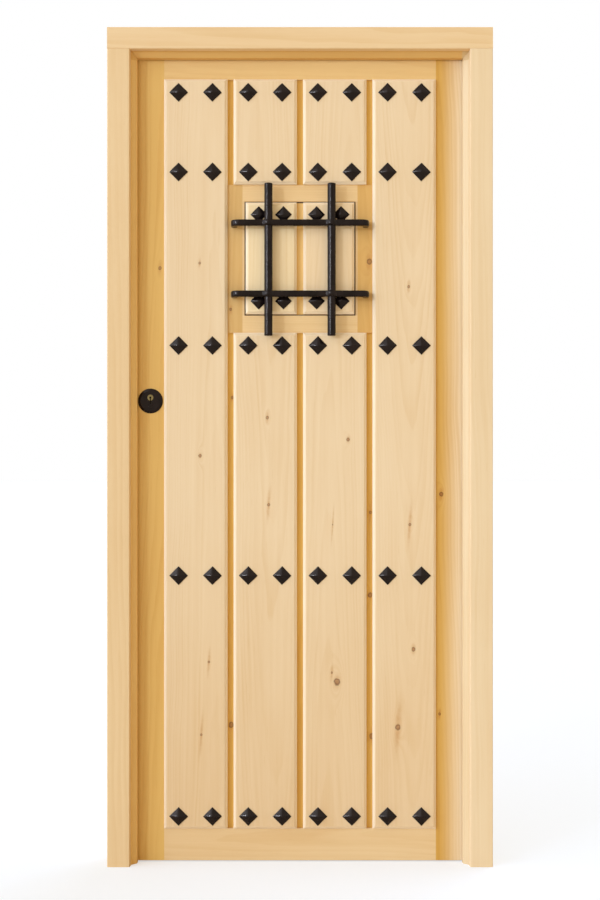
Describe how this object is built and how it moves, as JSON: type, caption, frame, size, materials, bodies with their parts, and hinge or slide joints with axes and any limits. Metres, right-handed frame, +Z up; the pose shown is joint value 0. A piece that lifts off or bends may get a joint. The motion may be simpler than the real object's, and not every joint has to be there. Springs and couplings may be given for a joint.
{
  "type": "exterior door",
  "caption": "Pine exterior door in its moulded frame: vertical boards with pyramid studs, a small shutter behind a forged iron grille, a keyed cylinder lock, an inner pull and side hinges.",
  "frame": {"origin": "on the floor, in the middle of the frame's front plane (the outdoor face)", "axes": "+X to the right as seen from outside, +Y inward through the wall, +Z up"},
  "size_m": [0.96, 0.145, 2.09],
  "materials": {
    "pine_frame": "varnished pine, satin",
    "pine_leaf": "varnished pine, satin",
    "pine_boards": "varnished pine, satin",
    "black_iron": "black forged iron, waxed",
    "plain_steel": "zinc plated steel",
    "brass": "brushed",
    "rubber_seal": "matt"
  },
  "bodies": {
    "frame": {"jamb_left": "pine_frame", "jamb_right": "pine_frame", "header": "pine_frame", "door_stop": "pine_frame", "weather_seal": "rubber_seal", "strike_plate": "plain_steel", "frame_screws": "plain_steel", "hinge_bottom_frame_plate": "plain_steel", "hinge_middle_frame_plate": "plain_steel", "hinge_top_frame_plate": "plain_steel", "hinge_pins": "plain_steel"},
    "leaf": {"backing_panel": "pine_leaf", "board_1": "pine_boards", "board_2_lower": "pine_boards", "board_2_upper": "pine_boards", "board_3_lower": "pine_boards", "board_3_upper": "pine_boards", "board_4": "pine_boards", "board_studs": "black_iron", "bottom_rail": "pine_leaf", "cylinder_body": "black_iron", "escutcheon_inner": "black_iron", "escutcheon_outer": "black_iron", "grille_crossbar_lower": "black_iron", "grille_crossbar_upper": "black_iron", "grille_nuts": "black_iron", "grille_upright_left": "black_iron", "grille_upright_right": "black_iron", "grille_washers": "black_iron", "hinge_bottom_door_plate": "plain_steel", "hinge_middle_door_plate": "plain_steel", "hinge_top_door_plate": "plain_steel", "inner_boards": "pine_leaf", "leaf_screws": "plain_steel", "leaf_small_screws": "black_iron", "lock_case": "plain_steel", "lock_faceplate": "plain_steel", "mullion_left": "pine_leaf", "mullion_right": "pine_leaf", "pull_handle": "black_iron", "shutter_bolt_keep": "black_iron", "shutter_hinge_fixed_plates": "black_iron", "shutter_hinge_pins": "black_iron", "stile_left": "pine_leaf", "stile_right": "pine_leaf", "top_rail": "pine_leaf", "window_linings": "pine_leaf", "window_rails": "pine_leaf"},
    "cylinder": {"cylinder_plug": "brass", "thumbturn": "black_iron"},
    "deadbolt": {"deadbolt": "plain_steel"},
    "latch": {"latch_bolt": "plain_steel"},
    "shutter": {"shutter_panel": "pine_leaf", "shutter_board_left": "pine_boards", "shutter_board_right": "pine_boards", "shutter_studs": "black_iron", "shutter_hinge_moving_plates": "black_iron", "shutter_bolt_plate": "black_iron", "shutter_screws": "black_iron"},
    "shutter_bolt": {"shutter_bolt_rod": "black_iron"}
  },
  "joints": [
    {"name": "leaf_swing", "type": "hinge", "parent": "frame", "child": "leaf", "pos_m": [0.422, 0.0973, 1], "axis": [0, 0, -1], "range_deg": [0, 100]},
    {"name": "cylinder_turn", "type": "hinge", "parent": "leaf", "child": "cylinder", "pos_m": [-0.377, 0.068, 1.1695], "axis": [0, 1, 0], "range_deg": [0, 360]},
    {"name": "deadbolt_slide", "type": "slide", "parent": "leaf", "child": "deadbolt", "axis": [-1, 0, 0], "range_m": [0, 0.02]},
    {"name": "latch_slide", "type": "slide", "parent": "leaf", "child": "latch", "axis": [-1, 0, 0], "range_m": [0, 0.012]},
    {"name": "shutter_swing", "type": "hinge", "parent": "leaf", "child": "shutter", "pos_m": [0.15025, 0.0933, 1.52], "axis": [0, 0, -1], "range_deg": [0, 105]},
    {"name": "shutter_bolt_slide", "type": "slide", "parent": "shutter", "child": "shutter_bolt", "axis": [-1, 0, 0], "range_m": [0, 0.02]}
  ],
  "couplings": [
    {"joint": "cylinder_turn", "follows": "deadbolt_slide", "rad_per_m": 314.16},
    {"joint": "latch_slide", "follows": "deadbolt_slide", "ratio": 0.5999}
  ]
}
